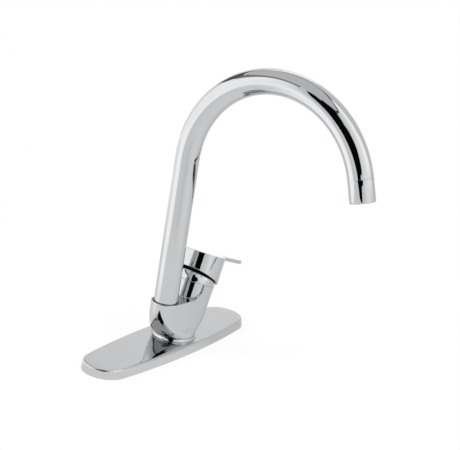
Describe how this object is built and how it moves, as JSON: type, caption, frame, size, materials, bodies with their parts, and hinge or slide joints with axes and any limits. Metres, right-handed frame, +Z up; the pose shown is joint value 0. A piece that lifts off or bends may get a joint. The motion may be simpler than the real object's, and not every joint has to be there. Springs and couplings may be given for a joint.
{
  "type": "sink mixer tap",
  "caption": "Chrome single-lever sink mixer: high swivel gooseneck spout, leaning side barrel with a flat lever, low oval foot on a long deck plate.",
  "frame": {"origin": "middle of the deck plate's underside, which rests on the deck", "axes": "+Z up, -Y to the front where the water comes out, +X to the lever side"},
  "size_m": [0.254, 0.2389, 0.3151],
  "materials": {
    "chrome": "polished",
    "brass": "machined",
    "rubber": "matte",
    "white_plastic": "matte",
    "grey_plastic": "matte",
    "ceramic": "lapped",
    "steel": "plain",
    "index_red": "gloss"
  },
  "bodies": {
    "root": {"deck_plate": "chrome", "plate_frame": "grey_plastic", "plate_gasket": "rubber", "foot_ring": "chrome", "foot_seal": "rubber", "mixer_body": "chrome", "lower_slip_ring": "white_plastic", "upper_slip_ring": "grey_plastic", "spout_keep_screw": "steel", "cartridge_base": "white_plastic", "port_seals": "rubber", "fixed_disc": "ceramic", "cartridge_housing": "white_plastic", "cartridge_nut": "brass", "bonnet_o_ring": "rubber", "bonnet": "chrome"},
    "spout": {"spout_tube": "chrome", "spout_shank": "brass", "spout_o_rings": "rubber", "outlet_sleeve": "chrome", "aerator_washer": "rubber", "aerator_screen": "steel", "flow_straightener": "white_plastic", "aerator_housing": "chrome"},
    "carrier": {"stem_carrier": "white_plastic", "stem_pin": "steel"},
    "lever": {"cartridge_stem": "brass", "lever_handle": "chrome", "set_screw": "steel", "index_plug": "index_red"},
    "disc": {"moving_disc": "ceramic", "disc_driver": "grey_plastic"}
  },
  "joints": [
    {"name": "spout_swivel", "type": "hinge", "parent": "root", "child": "spout", "pos_m": [-0.014, 0, 0.0336], "axis": [0, 0, 1], "continuous": true},
    {"name": "lever_turn", "type": "hinge", "parent": "root", "child": "carrier", "pos_m": [0.03604, 0, 0.06396], "axis": [0.3007, 0, 0.9537], "range_deg": [-45, 45]},
    {"name": "lever_lift", "type": "hinge", "parent": "carrier", "child": "lever", "pos_m": [0.03604, 0, 0.06396], "axis": [0, -1, 0], "range_deg": [0, 25]},
    {"name": "disc_slide", "type": "slide", "parent": "carrier", "child": "disc", "axis": [0.9537, 0, -0.3007], "range_m": [0, 0.0049]}
  ],
  "couplings": [
    {"joint": "disc_slide", "follows": "lever_lift", "m_per_rad": 0.0108}
  ]
}
